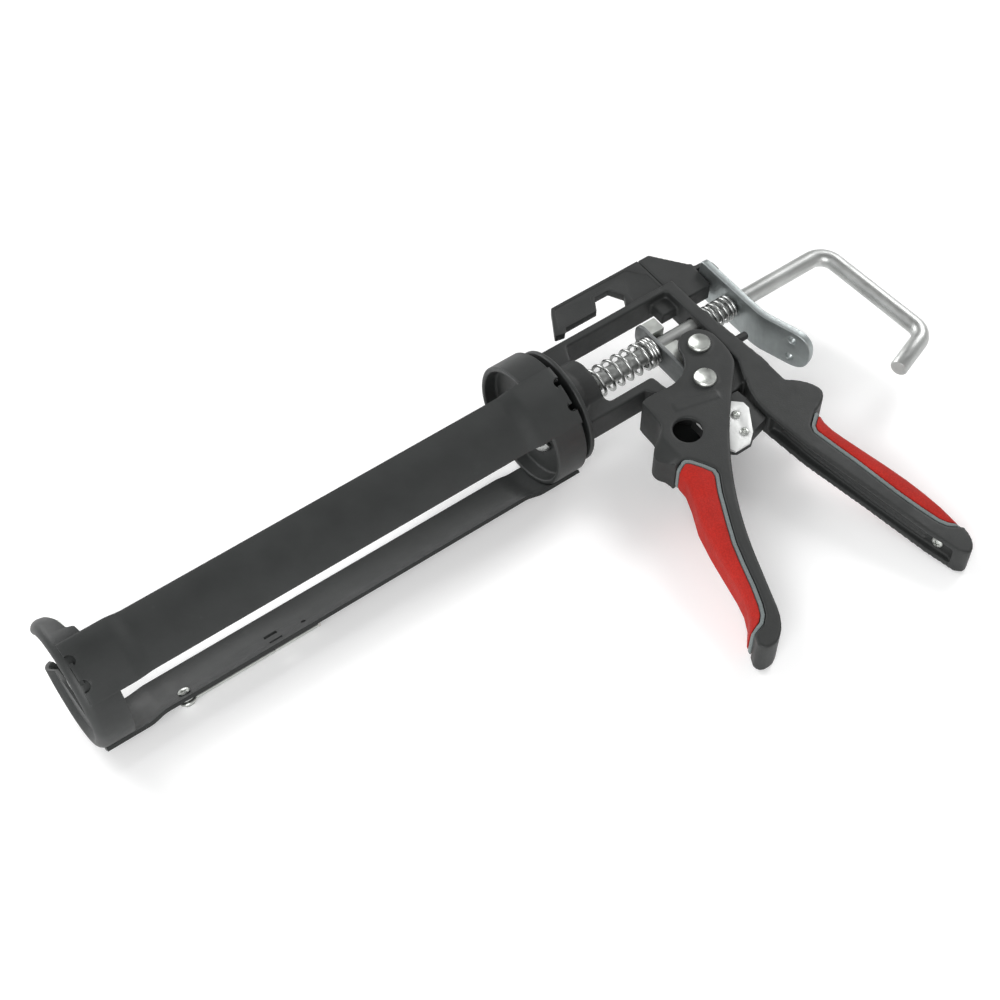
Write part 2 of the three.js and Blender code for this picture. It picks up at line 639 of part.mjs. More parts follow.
function trigger() {
  const cheeks = plate(triggerSide(), -CHEEK.outer, CHEEK.outer, 6);
  const waist = (z0, z1) => box(-10, 110, -160, -58, z0, z1);
  const fork = plate([
    [48.6, -20], [48.2, -36], [44.2, -50], [44.2, -58], [52, -64.5], [60, -76], [110, -60], [110, -4],
    [48.6, -4],
  ], -CHEEK.inner, CHEEK.inner);
  const channel = plate([
    [60, -76], [50, -76], [43, -89], [36.5, -105], [31, -120], [28.5, -128], [45, -128], [75, -76],
  ], -5.5, 5.5);
  return cut(
    join(cheeks, fingerCore(0)),
    waist(TRIGGER_HALF, 12), waist(-12, -TRIGGER_HALF), fork, channel,
    cylinderZ(CUT_HOLE_R, CUT_HOLE, -12, 12, 24),
    cylinderZ(PIN_R + GAP, PIVOT, -12, 12), cylinderZ(PIN_R + GAP, DRIVE, -12, 12));
}

// Envelope of the finger grip, with the front rounded over to both sides.
function fingerRound() {
  return softPlate([[37, -45], ...FINGER_FRONT, [5, -150], [60, -150], [60, -45]], TRIGGER_HALF, 4.5);
}

function fingerBorder() {
  const back = beside(FINGER_SEAM, GAP);
  const front = beside(FINGER_SEAM, GAP + BORDER_W);
  const band = plate([...back, ...front.reverse()], -TRIGGER_HALF, TRIGGER_HALF);
  return cut(band.intersect(fingerRound()), fingerCore(GAP));
}

function fingerGrip() {
  const back = beside(FINGER_SEAM, BORDER_W + 2 * GAP);
  const face = plate([...back, ...FINGER_FRONT], -TRIGGER_HALF, TRIGGER_HALF);
  return cut(face.intersect(fingerRound()), fingerCore(GAP));
}

// ---------------------------------------------------------------- drive and release
// Grip block: a thick plate with a slot that the rod lies in, open on the left side, and a wider
// round-topped spring plate on its front.
function driveBlock() {
  const b = BLOCK;
  const block = box(b.step, b.rear, b.bottom, b.top, -b.half, b.half);
  const shoulder = b.crown - b.wing;
  const springPlate = join(
    box(b.front, b.step + 0.1, b.bottom, shoulder, -b.wing, b.wing),
    cylinderX(b.wing, b.front, b.step + 0.1, shoulder, 0, 24));
  const slot = box(b.step, b.rear + 1, -ROD_BORE, ROD_BORE, 0, b.half + 1);
  return cut(join(block, springPlate), slot, cylinderX(ROD_BORE, b.front - 1, b.rear + 1, 0, 0, 24));
}

function pushRod() {
  const lean = Math.tan(deg(3.5));
  const corner = [ROD_CORNER + ROD_LEG * lean, -ROD_LEG];
  const end = [corner[0] - ROD_END * Math.cos(deg(19)), corner[1] - ROD_END * Math.sin(deg(19))];
  const route = roundedRoute([[ROD_FRONT, 0], [ROD_CORNER, 0], corner, end], ROD_BEND, 6);
  return bentBar(route, ROD_R, 16);
}

function plungerDisc() {
  return turned([
    [-212.6, ROD_R + GAP], [-212.6, 18], [-213.6, 20], [-213.6, 24], [-212.4, 24.6], [-209, 24.6],
    [-209, 23.4], [-211.2, 23], [-211.2, ROD_R + GAP], [-212.6, ROD_R + GAP],
  ], 40);
}

function plungerWasher() {
  return turned(ringProfile(-210.9, -209.7, ROD_R + GAP, 9), 24);
}

function plungerNut() {
  const nut = solid(new THREE.CylinderGeometry(6.4, 6.4, 3, 6).rotateZ(-Math.PI / 2).translate(-214.4, 0, 0));
  return cut(nut, cylinderX(ROD_R + GAP, -218, -210, 0, 0, 16));
}

function releaseLever() {
  const { front, t, half, kinkY, kink, tail } = LEVER;
  const rise = [front + tail * Math.sin(deg(kink)), kinkY - tail * Math.cos(deg(kink))];
  const across = [t * Math.cos(deg(kink)), t * Math.sin(deg(kink))];
  const bend = plate([
    [front, 23.6], [front + t, 23.6], [front + t, kinkY + t * Math.tan(deg(kink / 2))],
    [rise[0] + across[0], rise[1] + across[1]], rise, [front, kinkY],
  ], -half, half);
  // Front view outline: narrow top, straight sides, round thumb end.
  const face = new THREE.Shape();
  const round = kinkY - tail * Math.cos(deg(kink)) + half;
  face.moveTo(-4, 26);
  face.quadraticCurveTo(-half, 24, -half, 16);
  face.lineTo(-half, round);
  face.absarc(0, round, half + 0.001, Math.PI, 2 * Math.PI, false);
  face.lineTo(half, 16);
  face.quadraticCurveTo(half, 24, 4, 26);
  const geometry = new THREE.ExtrudeGeometry(face, { depth: 30, bevelEnabled: false, curveSegments: 10 });
  // Shape (u, v) becomes (Z, Y) and the depth runs along X.
  const basis = new THREE.Matrix4().makeBasis(
    new THREE.Vector3(0, 0, 1), new THREE.Vector3(0, 1, 0), new THREE.Vector3(-1, 0, 0));
  const mould = solid(geometry.applyMatrix4(basis).translate(front + 25, 0, 0));
  const dimple = (z) => cylinderX(1.9, front - 5, front + 20, kinkY - 17, z, 14);
  const rodHole = cylinderX(4.8, front - 2, front + t + 2, 0, 0, 24);
  return cut(bend.intersect(mould), rodHole, dimple(5.3), dimple(-5.3));
}

// ---------------------------------------------------------------- assembly
const gun = new THREE.Group();

function add(name, shape, material) {
  const geometry = shape.isBufferGeometry ? shape : geometryOf(shape);
  const mesh = new THREE.Mesh(geometry, material);
  mesh.name = name;
  gun.add(mesh);
  return mesh;
}

add('front_cap', frontCap(), CHARCOAL);
add('cradle_strip_left', cradleStrip(1), CHARCOAL);
add('cradle_strip_right', cradleStrip(-1), CHARCOAL);
add('cradle_ring', cradleRing(), CHARCOAL);
add('pin_rivet', pinRivet(), ZINC);
add('piercing_wire', piercingWire(), ZINC);
add('body_frame', bodyFrame(), CAST);
add('boss_flange', turned(ringProfile(FLANGE.front, FLANGE.rear, NECK_R + GAP, FLANGE.r), 44), CHARCOAL);
add('retaining_clip', retainingClip(), STEEL);
add('ladder_hook', ladderHook(), CAST);
add('lever_stop_pin', stopPin(), CAST);
add('handle_border', handleBorder(), BORDER);
add('handle_grip', handleGrip(), RUBBER);
add('handle_screw', handleScrew(), ZINC);
add('cutter_housing', cutterHousing(), CAST);
add('cutter_blade', cutterBlade(), PLATED);
add('cutter_screw_upper', cutterScrew(CUTTER_SCREWS[0]), ZINC);
add('cutter_screw_lower', cutterScrew(CUTTER_SCREWS[1]), ZINC);
add('trigger', trigger(), CAST);
add('trigger_border', fingerBorder(), BORDER);
add('trigger_grip', fingerGrip(), RUBBER);
add('trigger_rivet', rivet(PIVOT, 5.1), ZINC);
add('drive_rivet', rivet(DRIVE, 5.1), ZINC);
add('drive_block', driveBlock(), ZINC);
add('main_spring', spring(BOSS_REAR + GAP, BLOCK.front - GAP, 8.5, MAIN_SPRING_R), STEEL);
add('push_rod', pushRod(), ZINC);
add('plunger_disc', plungerDisc(), ZINC);
add('plunger_washer', plungerWasher(), ZINC);
add('plunger_nut', plungerNut(), ZINC);
add('release_lever', releaseLever(), ZINC);
add('release_spring', spring(WALL.rear + GAP, LEVER.front - GAP, 5, RELEASE_SPRING_R), STEEL);

// Lay the gun on its right side and put the origin at the bottom centre of its box.
gun.rotation.x = deg(REST_ROLL);
const part = new THREE.Group();
part.add(gun);
part.updateMatrixWorld(true);
const bounds = new THREE.Box3().setFromObject(part, true);
const centre = bounds.getCenter(new THREE.Vector3());
gun.position.set(-centre.x, -centre.y, -bounds.min.z);

export default part;
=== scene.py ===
"""Looks of the caulking gun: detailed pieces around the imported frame, materials, light and camera.

Pieces are drawn in the gun's own frame, in millimetres: +X from the nozzle to the rod handle along
the barrel, +Y the top of the gun, +Z its left side, with the front rim of the cradle ring at X = 0.
GUN carries them into the row frame, where the gun lies on its right side.
"""

import json
import math

import bmesh
import bpy
from mathutils import Matrix, Vector

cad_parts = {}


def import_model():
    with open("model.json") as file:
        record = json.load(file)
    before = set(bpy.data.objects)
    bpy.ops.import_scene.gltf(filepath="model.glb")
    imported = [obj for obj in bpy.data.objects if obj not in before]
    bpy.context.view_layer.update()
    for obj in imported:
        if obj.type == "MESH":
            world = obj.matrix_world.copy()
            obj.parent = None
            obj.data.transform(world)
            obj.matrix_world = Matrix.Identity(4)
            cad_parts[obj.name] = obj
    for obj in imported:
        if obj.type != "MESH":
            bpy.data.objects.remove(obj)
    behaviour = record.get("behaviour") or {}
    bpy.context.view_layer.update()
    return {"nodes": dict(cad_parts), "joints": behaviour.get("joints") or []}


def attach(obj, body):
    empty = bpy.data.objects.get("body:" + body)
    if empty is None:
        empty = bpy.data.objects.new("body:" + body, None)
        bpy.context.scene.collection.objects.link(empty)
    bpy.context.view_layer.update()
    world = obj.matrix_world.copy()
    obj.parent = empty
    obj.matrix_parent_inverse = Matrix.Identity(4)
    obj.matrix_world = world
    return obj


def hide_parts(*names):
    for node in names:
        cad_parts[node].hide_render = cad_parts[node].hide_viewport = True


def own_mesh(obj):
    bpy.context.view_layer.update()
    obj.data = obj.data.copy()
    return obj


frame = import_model()
scene = bpy.context.scene

JOINTS = {joint["name"]: joint for joint in frame["joints"]}
AXIS_AT = Vector(JOINTS["cradle_turn"]["pos_m"])
LEFT = Vector(JOINTS["trigger_squeeze"]["axis"])
TURN = Matrix.Rotation(math.atan2(-LEFT.y, LEFT.z), 4, "X")
GUN = Matrix.Translation(AXIS_AT) @ TURN @ Matrix.Scale(0.001, 4)

# ------------------------------------------------------------------ dimensions in the gun frame, mm
# R stands for a radius; angles are degrees round the barrel from the bottom, positive to the left.
ROD_R = 4.0
ROD_BACK, ROD_LEG, ROD_END, ROD_BEND = 173.8, 63.5, 25.0, 8.5
BORE_R = 4.4                               # round the rod, in the drive block
RING_R, RING_BORE_R, RING_REAR = 28.4, 26.2, 14.8
CAP_FACE, CAP_REAR = -220.0, -205.0
STRIP_R, LAP_R, STRIP_T = 27.3, 28.7, 1.5  # inside of a strip, inside of its laps, thickness
STRIP_FROM, STRIP_TO = 35.4, 89.0
STRIP_FRONT, STRIP_REAR = -217.0, 14.5
JOGGLE, JOGGLE_FRONT, JOGGLE_REAR = 9.0, -198.0, -14.0
TAB_ANGLE, TAB_HALF = 62.0, 4.5
TAB_SLOT_HALF, RELIEF_ANGLE = 5.5, 10.6    # slot beside a tab, and its relief holes off the tab's middle
TOOL_IN, TOOL_OUT = 20, 36                 # reach of a cutter through strip and ring
PIN_ANGLE, PIN_X = -52.0, -179.0
WIRE_R, WIRE_RADIUS, WIRE_LENGTH = 0.9, 31.3, 62.0
EYE_R = 2.7                                # centre line of the wire's eye
PIVOT = (75.5, -32.0)
DRIVE = (86.0, -15.4)
PIN_HOLE_R, SEAT_R = 3.2, 6.0              # holes and seats of the two rivets
TRIGGER_HALF = 8.9                         # half thickness of the finger part
CUTTER_SCREWS = ((75.6, -53.0), (72.6, -62.2))
HANDLE_SCREW, HANDLE_SCREW_TILT = (103.3, -149.2, 0), -79.3
CAST_VOXEL, CAST_SMOOTHING = 0.5, 5
COIL_WIRE_R = 0.75


# ------------------------------------------------------------------ mesh kit
def eased(t):
    """Smooth step from 0 to 1."""
    t = min(max(t, 0.0), 1.0)
    return t * t * (3 - 2 * t)


def new_object(name, bm):
    bmesh.ops.recalc_face_normals(bm, faces=bm.faces)
    mesh = bpy.data.meshes.new(name)
    bm.to_mesh(mesh)
    bm.free()
    obj = bpy.data.objects.new(name, mesh)
    scene.collection.objects.link(obj)
    return obj


def apply_modifiers(obj):
    depsgraph = bpy.context.evaluated_depsgraph_get()
    mesh = bpy.data.meshes.new_from_object(obj.evaluated_get(depsgraph))
    obj.modifiers.clear()
    obj.data = mesh
    return obj


def boolean(obj, operation, *tools):
    for tool in tools:
        step = obj.modifiers.new(operation, "BOOLEAN")
        step.operation = operation
        step.solver = "EXACT"
        step.object = tool
    apply_modifiers(obj)
    for tool in tools:
        bpy.data.objects.remove(tool)
    return obj


def cut(obj, *tools):
    return boolean(obj, "DIFFERENCE", *tools)


def join(obj, *tools):
    return boolean(obj, "UNION", *tools)


def bevelled(obj, width, segments=3, angle=32):
    step = obj.modifiers.new("edges", "BEVEL")
    step.width = width
    step.segments = segments
    step.limit_method = "ANGLE"
    step.angle_limit = math.radians(angle)
    return apply_modifiers(obj)


def cast_skin(obj, voxel=CAST_VOXEL, smoothing=CAST_SMOOTHING):
    """One smooth skin round everything in obj, with the soft edges of a casting."""
    remesh = obj.modifiers.new("skin", "REMESH")
    remesh.mode = "VOXEL"
    remesh.voxel_size = voxel
    apply_modifiers(obj)
    smooth = obj.modifiers.new("soften", "SMOOTH")
    smooth.factor = 0.5
    smooth.iterations = smoothing
    return apply_modifiers(obj)


def gathered(name, *objects):
    """One object holding the meshes of several, which may overlap."""
    bm = bmesh.new()
    for obj in objects:
        bm.from_mesh(obj.data)
        bpy.data.objects.remove(obj)
    return new_object(name, bm)


def cad_copy(node):
    """The CAD solid of a node, in the gun frame."""
    bm = bmesh.new()
    bm.from_mesh(frame["nodes"][node].data)
    bmesh.ops.transform(bm, matrix=GUN.inverted(), verts=bm.verts)
    bmesh.ops.remove_doubles(bm, verts=bm.verts, dist=0.002)
    for layer in list(bm.loops.layers.uv.values()):
        bm.loops.layers.uv.remove(layer)
    return new_object(node + "_copy", bm)


def rounded(corners):
    """Outline whose corners are (x, y, radius): a radius of 0 leaves the corner sharp."""
    points = []
    for i, (x, y, radius) in enumerate(corners):
        here = Vector((x, y))
        before = Vector(corners[i - 1][:2]) - here
        after = Vector(corners[(i + 1) % len(corners)][:2]) - here
        turn = math.pi - before.angle(after)
        if radius <= 0 or turn < 0.02:
            points.append(here)
            continue
        reach = min(radius * math.tan(turn / 2), 0.48 * before.length, 0.48 * after.length)
        start = here + before.normalized() * reach
        end = here + after.normalized() * reach
        steps = max(2, round(math.degrees(turn) / 10))
        for k in range(steps + 1):
            t = k / steps
            points.append(start * (1 - t) ** 2 + here * 2 * t * (1 - t) + end * t ** 2)
    return points


def slab(name, corners, z0, z1):
    """Flat plate of an outline in the gun's XY plane."""
    bm = bmesh.new()
    face = bm.faces.new([bm.verts.new((p[0], p[1], z0)) for p in rounded(corners)])
    top = bmesh.ops.extrude_face_region(bm, geom=[face])
    moved = [v for v in top["geom"] if isinstance(v, bmesh.types.BMVert)]
    bmesh.ops.translate(bm, verts=moved, vec=(0, 0, z1 - z0))
    return new_object(name, bm)


def sharp(points):
    return [(x, y, 0) for x, y in points]


def block(name, x0, x1, y0, y1, z0, z1):
    return slab(name, sharp([(x0, y0), (x1, y0), (x1, y1), (x0, y1)]), z0, z1)


def lathe(name, profile, segments=96):
    """Solid of revolution about the barrel axis from a closed profile of (x, radius)."""
    bm = bmesh.new()
    rings = []
    for x, r in profile:
        if r <= 0:
            rings.append([bm.verts.new((x, 0, 0))] * segments)
            continue
        spokes = [2 * math.pi * k / segments for k in range(segments)]
        rings.append([bm.verts.new((x, r * math.cos(a), r * math.sin(a))) for a in spokes])
    pairs = list(zip(rings, rings[1:]))
    if profile[0][1] > 0 or profile[-1][1] > 0:
        pairs.append((rings[-1], rings[0]))
    for one, two in pairs:
        for k in range(segments):
            corners = [one[k], one[(k + 1) % segments], two[(k + 1) % segments], two[k]]
            unique = list(dict.fromkeys(corners))
            if len(unique) > 2:
                bm.faces.new(unique)
    return new_object(name, bm)


def arc(cx, cr, radius, start, end, steps=8):
    """Points (x, radius) of a round corner for a lathe profile, angles in degrees from +X."""
    angles = [math.radians(start + (end - start) * k / steps) for k in range(steps + 1)]
    return [(cx + radius * math.cos(a), cr + radius * math.sin(a)) for a in angles]


def cylinder_z(name, radius, at, z0, z1, sides=48):
    corners = [2 * math.pi * k / sides for k in range(sides)]
    ring = [(at[0] + radius * math.cos(a), at[1] + radius * math.sin(a)) for a in corners]
    return slab(name, sharp(ring), z0, z1)


def cylinder_x(name, radius, x0, x1, sides=64):
    obj = cylinder_z(name, radius, (0, 0), x0, x1, sides)
    obj.data.transform(Matrix.Rotation(math.pi / 2, 4, "Y"))
    return obj


def sweep(name, path, radius, sides=24, closed=False, up=Vector((0, 0, 1))):
    """Round bar along a list of points."""
    bm = bmesh.new()
    rings = []
    last = len(path) - 1
    for i, point in enumerate(path):
        before = path[i - 1] if closed or i else path[0]
        after = path[(i + 1) % len(path)] if closed or i < last else path[last]
        along = (after - before).normalized()
        side = up.cross(along).normalized()
        over = along.cross(side)
        spokes = [2 * math.pi * k / sides for k in range(sides)]
        r = radius(i / last) if callable(radius) else radius
        ring = [bm.verts.new(point + side * r * math.cos(a) + over * r * math.sin(a)) for a in spokes]
        rings.append(ring)
    pairs = list(zip(rings, rings[1:])) + ([(rings[-1], rings[0])] if closed else [])
    for one, two in pairs:
        for k in range(sides):
            bm.faces.new([one[k], one[(k + 1) % sides], two[(k + 1) % sides], two[k]])
    if not closed:
        bm.faces.new(rings[0])
        bm.faces.new(list(reversed(rings[-1])))
    return new_object(name, bm)


def route(corners, radius, steps=14):
    """Centre line in the gun's XY plane with round bends, as 3-D points."""
    points = [Vector((*corners[0], 0))]
    for i in range(1, len(corners) - 1):
        here = Vector(corners[i])
        into = (here - Vector(corners[i - 1])).normalized()
        out = (Vector(corners[i + 1]) - here).normalized()
        turn = into.angle_signed(out) * -1
        reach = radius * math.tan(abs(turn) / 2)
        side = Vector((-into.y, into.x)) * math.copysign(radius, turn)
        start = here - into * reach
        for k in range(steps + 1):
            spoke = -side
            spoke.rotate(Matrix.Rotation(turn * k / steps, 2))
            points.append(Vector((*(start + side + spoke), 0)))
    points.append(Vector((*corners[-1], 0)))
    return points


def around(obj, angle):
    """Turns a piece made at the bottom of the gun round the barrel, positive to the left."""
    obj.data.transform(Matrix.Rotation(math.radians(-angle), 4, "X"))
    return obj


def place(obj, name, body, material, nodes=(), smooth=40):
    """Carries a finished piece into the row frame, gives it its look and ties it to its body."""
    obj.name = name
    obj.data.name = name
    obj.data.transform(GUN)
    obj.data.materials.clear()
    obj.data.materials.append(material)
    obj.data.shade_smooth()
    obj.data.set_sharp_from_angle(angle=math.radians(smooth))
    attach(obj, body)
    if nodes:
        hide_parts(*nodes)
    return obj


# ------------------------------------------------------------------ materials
def node_material(name):
    material = bpy.data.materials.new(name)
    material.use_nodes = True
    tree = material.node_tree
    shader = tree.nodes["Principled BSDF"]
    coordinates = tree.nodes.new("ShaderNodeTexCoord")
    return material, tree, shader, coordinates.outputs["Object"]


def noise(tree, where, scale, detail=4, rough=0.55, stretch=None):
    if stretch:
        mapping = tree.nodes.new("ShaderNodeMapping")
        mapping.inputs["Scale"].default_value = stretch
        tree.links.new(where, mapping.inputs["Vector"])
        where = mapping.outputs["Vector"]
    texture = tree.nodes.new("ShaderNodeTexNoise")
    texture.inputs["Scale"].default_value = scale
    texture.inputs["Detail"].default_value = detail
    texture.inputs["Roughness"].default_value = rough
    tree.links.new(where, texture.inputs["Vector"])
    return texture.outputs["Fac"]


def ramp(tree, factor, stops):
    node = tree.nodes.new("ShaderNodeValToRGB")
    node.color_ramp.elements[0].position = stops[0][0]
    node.color_ramp.elements[0].color = stops[0][1]
    node.color_ramp.elements[1].position = stops[-1][0]
    node.color_ramp.elements[1].color = stops[-1][1]
    for position, colour in stops[1:-1]:
        element = node.color_ramp.elements.new(position)
        element.color = colour
    tree.links.new(factor, node.inputs["Fac"])
    return node.outputs["Color"]


def grey(value):
    return (value, value, value, 1)


def mix(tree, factor, one, two, blend="MIX"):
    node = tree.nodes.new("ShaderNodeMix")
    node.data_type = "RGBA"
    node.blend_type = blend
    for name, value in (("Factor", factor), ("A", one), ("B", two)):
        socket = node.inputs[name]
        if isinstance(value, bpy.types.NodeSocket):
            tree.links.new(value, socket)
        else:
            socket.default_value = value
    return node.outputs["Result"]


def bump(tree, shader, heights):
    """Chains bumps: (height socket, strength, distance in metres)."""
    normal = None
    for height, strength, distance in heights:
        node = tree.nodes.new("ShaderNodeBump")
        node.inputs["Strength"].default_value = strength
        node.inputs["Distance"].default_value = distance
        tree.links.new(height, node.inputs["Height"])
        if normal:
            tree.links.new(normal, node.inputs["Normal"])
        normal = node.outputs["Normal"]
    tree.links.new(normal, shader.inputs["Normal"])


def scaled(colour, factor):
    return (colour[0] * factor, colour[1] * factor, colour[2] * factor, 1)


def powder_coat(name, colour, roughness, texture_scale, texture_depth):
    """Powder coat: slight mottling, rubbed patches and a fine orange-peel texture."""
    material, tree, shader, where = node_material(name)
    mottle = ramp(tree, noise(tree, where, 55), [(0.3, scaled(colour, 0.86)), (0.7, scaled(colour, 1.12))])
    scuffs = ramp(tree, noise(tree, where, 160, 8, 0.7), [(0.62, grey(0)), (0.74, grey(0.5))])
    tree.links.new(mix(tree, scuffs, mottle, scaled(colour, 1.5)), shader.inputs["Base Color"])
    spread = noise(tree, where, 90, 5)
    rough = ramp(tree, spread, [(0.3, grey(roughness - 0.06)), (0.7, grey(roughness + 0.07))])
    tree.links.new(rough, shader.inputs["Roughness"])
    shader.inputs["Specular IOR Level"].default_value = 0.45
    peel = noise(tree, where, texture_scale, 3, 0.5)
    broad = noise(tree, where, texture_scale / 6, 2, 0.5)
    bump(tree, shader, [(peel, 0.5, texture_depth), (broad, 0.35, texture_depth * 2)])
    return material


def plated(name, colour, roughness, grain=(1, 1, 1), grain_scale=400, metallic=1.0):
    """Zinc or bright plate: drawn grain, cloudy passivation and a few stains."""
    material, tree, shader, where = node_material(name)
    haze = noise(tree, where, 70, 6, 0.6)
    cloud = ramp(tree, haze, [(0.3, scaled(colour, 0.8)), (0.65, scaled(colour, 1.05))])
    stains = ramp(tree, noise(tree, where, 230, 7, 0.75), [(0.66, grey(0)), (0.78, grey(0.55))])
    tree.links.new(mix(tree, stains, cloud, scaled(colour, 0.45)), shader.inputs["Base Color"])
    lines = noise(tree, where, grain_scale, 5, 0.6, grain)
    rough = ramp(tree, lines, [(0.3, grey(roughness - 0.08)), (0.7, grey(roughness + 0.12))])
    tree.links.new(rough, shader.inputs["Roughness"])
    shader.inputs["Metallic"].default_value = metallic
    bump(tree, shader, [(lines, 0.25, 0.00004), (noise(tree, where, 900, 2), 0.15, 0.00005)])
    return material


def soft_grip(name, colour, spark_scale, depth, sheen=0.15):
    """Moulded rubber with a spark-eroded grain."""
    material, tree, shader, where = node_material(name)
    tone = ramp(tree, noise(tree, where, 80, 5), [(0.3, scaled(colour, 0.84)), (0.7, scaled(colour, 1.1))])
    sparks = noise(tree, where, spark_scale, 2)
    speck = ramp(tree, sparks, [(0.42, scaled(colour, 0.72)), (0.6, scaled(colour, 1.15))])
    tree.links.new(mix(tree, 0.45, tone, speck), shader.inputs["Base Color"])
    rough = ramp(tree, noise(tree, where, 120, 4), [(0.3, grey(0.62)), (0.7, grey(0.8))])
    tree.links.new(rough, shader.inputs["Roughness"])
    shader.inputs["Sheen Weight"].default_value = sheen
    shader.inputs["Specular IOR Level"].default_value = 0.25
    bump(tree, shader, [(noise(tree, where, spark_scale, 2, 0.6), 0.8, depth)])
    return material


CHARCOAL = powder_coat("charcoal_sheet", (0.021, 0.023, 0.0225), 0.5, 1500, 0.00006)
CASTING = powder_coat("charcoal_casting", (0.017, 0.0185, 0.018), 0.56, 1900, 0.00009)
RED = soft_grip("red_grip", (0.4, 0.014, 0.008), 1500, 0.00022, 0.0)
BORDER = soft_grip("grip_border", (0.17, 0.195, 0.195), 1800, 0.00006)
ZINC = plated("zinc_plate", (0.6, 0.62, 0.59), 0.34)
ROD_ZINC = plated("zinc_rod", (0.5, 0.51, 0.5), 0.42, (0.05, 1, 1), 900)
SPRING = plated("spring_wire", (0.5, 0.51, 0.5), 0.28)
BLADE = plated("white_zinc", (0.74, 0.75, 0.74), 0.5, (1, 0.1, 1), 700, 0.3)
# Painted shade: a darker copy of the zinc for the release lever, standing in for the dim reflections on its
# faces.
SHADED_LEVER_PLATE = plated("lever_plate_painted_shade", (0.36, 0.39, 0.39), 0.42, (1, 1, 0.1), 700)
# Painted shade: a dark copy of the plate for the spring plate in front of the grip block, standing in for the
# shade it lies in.
SHADED_SPRING_PLATE_STEEL = plated("spring_plate_painted_shade", (0.2, 0.21, 0.21), 0.5)


# ------------------------------------------------------------------ cradle
def joggle(x, start, end):
    """(x, radius) stations of a smooth step from one radius to another."""
    return [(x + JOGGLE * k / 10, start + (end - start) * eased(k / 10)) for k in range(1, 10)]


def strip_shell():
    """(x, inner radius) stations of a cradle strip with its joggles, front to rear."""
    front = [(STRIP_FRONT + 1.6 * k, LAP_R) for k in range(12)] + [(JOGGLE_FRONT, LAP_R)]
    middle = [(JOGGLE_FRONT + JOGGLE + 25 * k, STRIP_R) for k in range(7)] + [(JOGGLE_REAR, STRIP_R)]
    rear = [(JOGGLE_REAR + JOGGLE + 1.6 * k, LAP_R) for k in range(12)] + [(STRIP_REAR, LAP_R)]
    front += joggle(JOGGLE_FRONT, LAP_R, STRIP_R)
    middle += joggle(JOGGLE_REAR, STRIP_R, LAP_R)
    return front + middle + rear


def curved_sheet(name, start, end, stations, thickness=STRIP_T):
    """Sheet bent round the barrel between two angles, from inner-radius stations."""
    bm = bmesh.new()
    count = max(2, round(abs(end - start) / 2))
    grids = []
    for extra in (0, thickness):
        grid = []
        for x, r in stations:
            row = []
            for k in range(count + 1):
                a = math.radians(start + (end - start) * k / count)
                reach = r + extra
                row.append(bm.verts.new((x, -reach * math.cos(a), reach * math.sin(a))))
            grid.append(row)
        grids.append(grid)
    inner, outer = grids
    for i in range(len(stations) - 1):
        for k in range(count):
            for g in (inner, outer):
                bm.faces.new([g[i][k], g[i][k + 1], g[i + 1][k + 1], g[i + 1][k]])
        for k in (0, count):
            bm.faces.new([inner[i][k], outer[i][k], outer[i + 1][k], inner[i + 1][k]])
    for i in (0, len(stations) - 1):
        for k in range(count):
            bm.faces.new([inner[i][k], inner[i][k + 1], outer[i][k + 1], outer[i][k]])
    return new_object(name, bm)


def radial_cutter(radius, x, angle, sides=32):
    tool = cylinder_z("tool", radius, (0, 0), TOOL_IN, TOOL_OUT, sides)
    tool.data.transform(Matrix.Translation((x, 0, 0)) @ Matrix.Rotation(math.pi / 2, 4, "X"))
    return around(tool, angle)


def slot_cutter(x0, x1, z0, z1, angle):
    return around(block("tool", x0, x1, -34, -TOOL_IN, z0, z1), angle)


def tab_slot(side, x0, x1):
    return slot_cutter(x0, x1, -TAB_SLOT_HALF, TAB_SLOT_HALF, side * TAB_ANGLE)


def relief_holes(side, x, radius):
    return [radial_cutter(radius, x, side * TAB_ANGLE + step) for step in (-RELIEF_ANGLE, RELIEF_ANGLE)]


def hooked_tab(side, x0, x1, lap_from, lap_to):
    """Tab in the middle of a strip end: runs out along the lap and bends inwards over the rim."""
    outside = -LAP_R - STRIP_T + 0.15
    leg = block("tab", x0, x1, outside, -24.7, -TAB_HALF, TAB_HALF)
    run = block("tab", lap_from, lap_to, outside, -LAP_R, -TAB_HALF, TAB_HALF)
    return around(join(leg, run), side * TAB_ANGLE)


def cradle_strip(side):
    name = "strip_left" if side > 0 else "strip_right"
    strip = curved_sheet(name, side * STRIP_FROM, side * STRIP_TO, strip_shell())
    tools = relief_holes(side, STRIP_FRONT + 0.9, 2.5) + relief_holes(side, STRIP_REAR - 0.9, 2.5)
    tools += [tab_slot(side, STRIP_FRONT - 1, -216.9), tab_slot(side, 13.5, STRIP_REAR + 1)]
    if side < 0:
        tools.append(radial_cutter(1.9, PIN_X, PIN_ANGLE))
        tools.append(radial_cutter(1.1, PIN_X + 57, PIN_ANGLE - 3))
        tools += [slot_cutter(-139, -133, z - 0.9, z + 0.9, PIN_ANGLE) for z in (-5.5, 0.5)]
    cut(strip, *tools)
    bevelled(strip, 0.35, 2, 50)
    front_tab = hooked_tab(side, -216.9, -215.6, -216.9, -215.3)
    rear_tab = hooked_tab(side, 12.3, 13.5, 12.0, 13.5)
    strip = gathered(name, strip, front_tab, rear_tab)
    node = "cradle_strip_left" if side > 0 else "cradle_strip_right"
    return place(strip, name, "cradle", CHARCOAL, [node], 35)


